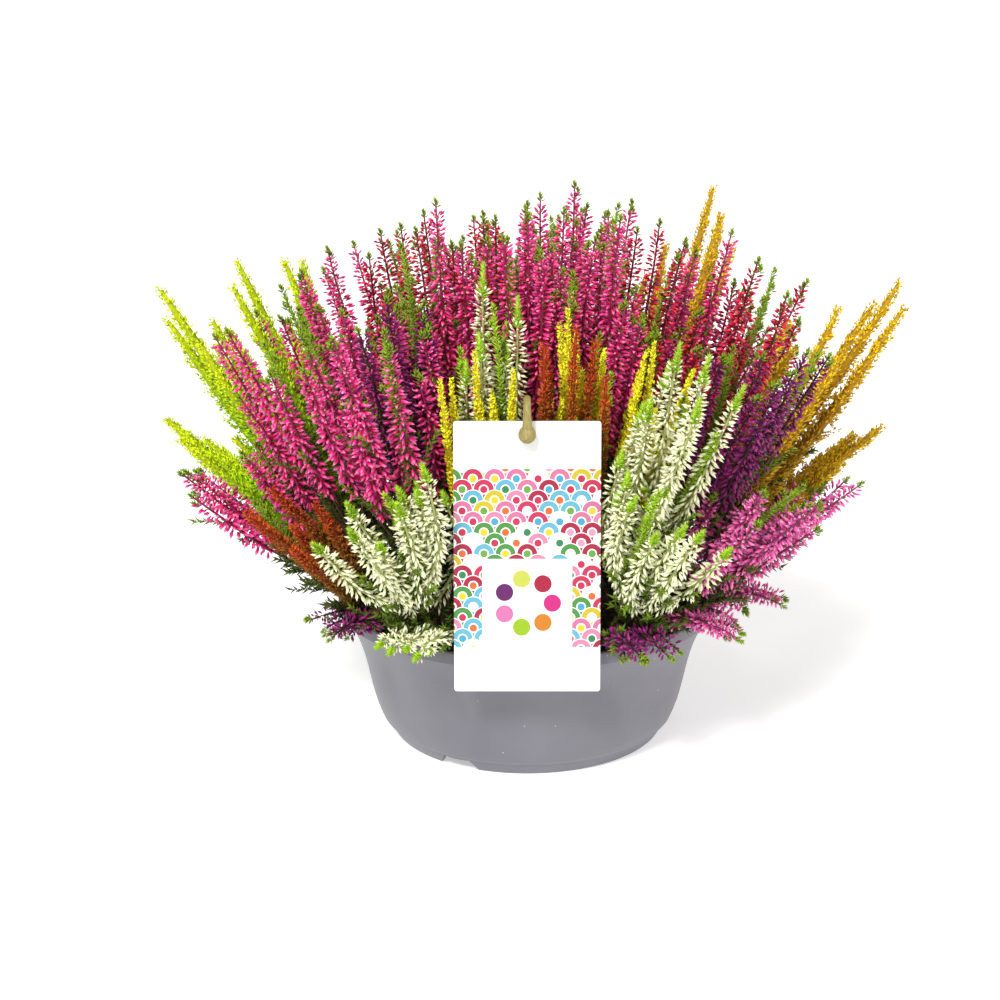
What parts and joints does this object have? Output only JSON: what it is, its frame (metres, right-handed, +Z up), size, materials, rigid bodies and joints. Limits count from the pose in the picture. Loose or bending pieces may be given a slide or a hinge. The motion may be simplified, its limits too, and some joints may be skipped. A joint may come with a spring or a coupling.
{
  "type": "potted heather",
  "caption": "Mixed heather in seven colours, densely planted in a round grey planting bowl, with a picture card on a hooked stake.",
  "frame": {"origin": "on the bowl's axis, in the plane that its foot ring stands on", "axes": "+Z up; -Y towards the front, where the card hangs; +X to the right seen from the front"},
  "size_m": [0.4484, 0.3489, 0.3344],
  "materials": {
    "grey_plastic": "satin, injection moulded",
    "soil": "crumbly peat compost, dry",
    "printed_card": "coated card with a printed pattern",
    "stake_wood": "smooth tan wood",
    "heather_pink": "budding spikes, matt",
    "heather_crimson": "budding spikes, matt",
    "heather_cream": "budding spikes, matt",
    "heather_purple": "budding spikes, matt",
    "heather_mauve": "budding spikes, matt",
    "heather_lime": "scale-leaved foliage, matt",
    "heather_yellow": "scale-leaved foliage, matt",
    "heather_golden": "scale-leaved foliage, matt",
    "heather_rust": "scale-leaved foliage, matt"
  },
  "bodies": {
    "root": {"bowl": "grey_plastic", "card": "printed_card", "soil": "soil", "spray_inner_01_pink": "heather_pink", "spray_inner_02_pink": "heather_pink", "spray_inner_03_crimson": "heather_crimson", "spray_inner_04_pink": "heather_pink", "spray_inner_05_crimson": "heather_crimson", "spray_inner_06_crimson": "heather_crimson", "spray_inner_07_pink": "heather_pink", "spray_middle_01_pink": "heather_pink", "spray_middle_02_pink": "heather_pink", "spray_middle_03_crimson": "heather_crimson", "spray_outer_02_cream": "heather_cream", "spray_outer_03_mauve": "heather_mauve", "spray_outer_04_mauve": "heather_mauve", "spray_outer_05_golden": "heather_golden", "spray_outer_06_purple": "heather_purple", "spray_outer_07_crimson": "heather_crimson", "spray_outer_08_pink": "heather_pink", "spray_outer_09_crimson": "heather_crimson", "spray_outer_10_pink": "heather_pink", "spray_outer_11_lime": "heather_lime", "spray_outer_12_lime": "heather_lime", "spray_outer_13_pink": "heather_pink", "spray_outer_14_rust": "heather_rust", "spray_outer_15_cream": "heather_cream", "spray_second_01_yellow": "heather_yellow", "spray_second_02_yellow": "heather_yellow", "spray_second_03_crimson": "heather_crimson", "spray_second_04_pink": "heather_pink", "spray_second_05_pink": "heather_pink", "spray_second_06_pink": "heather_pink", "spray_second_07_crimson": "heather_crimson", "spray_second_08_pink": "heather_pink", "spray_second_09_pink": "heather_pink", "spray_second_10_purple": "heather_purple", "spray_second_11_cream": "heather_cream", "spray_skirt_02_purple": "heather_purple", "spray_skirt_03_mauve": "heather_mauve", "spray_skirt_04_mauve": "heather_mauve", "spray_skirt_08_lime": "heather_lime", "spray_skirt_11_crimson": "heather_crimson", "spray_skirt_15_purple": "heather_purple", "spray_skirt_16_cream": "heather_cream", "spray_third_01_rust": "heather_rust", "spray_third_02_cream": "heather_cream", "spray_third_03_purple": "heather_purple", "spray_third_04_golden": "heather_golden", "spray_third_05_crimson": "heather_crimson", "spray_third_06_golden": "heather_golden", "spray_third_07_pink": "heather_pink", "spray_third_08_crimson": "heather_crimson", "spray_third_09_pink": "heather_pink", "spray_third_10_lime": "heather_lime", "spray_third_11_lime": "heather_lime", "spray_third_12_pink": "heather_pink", "spray_third_13_pink": "heather_pink", "spray_third_14_yellow": "heather_yellow", "stake": "stake_wood"}
  },
  "joints": []
}
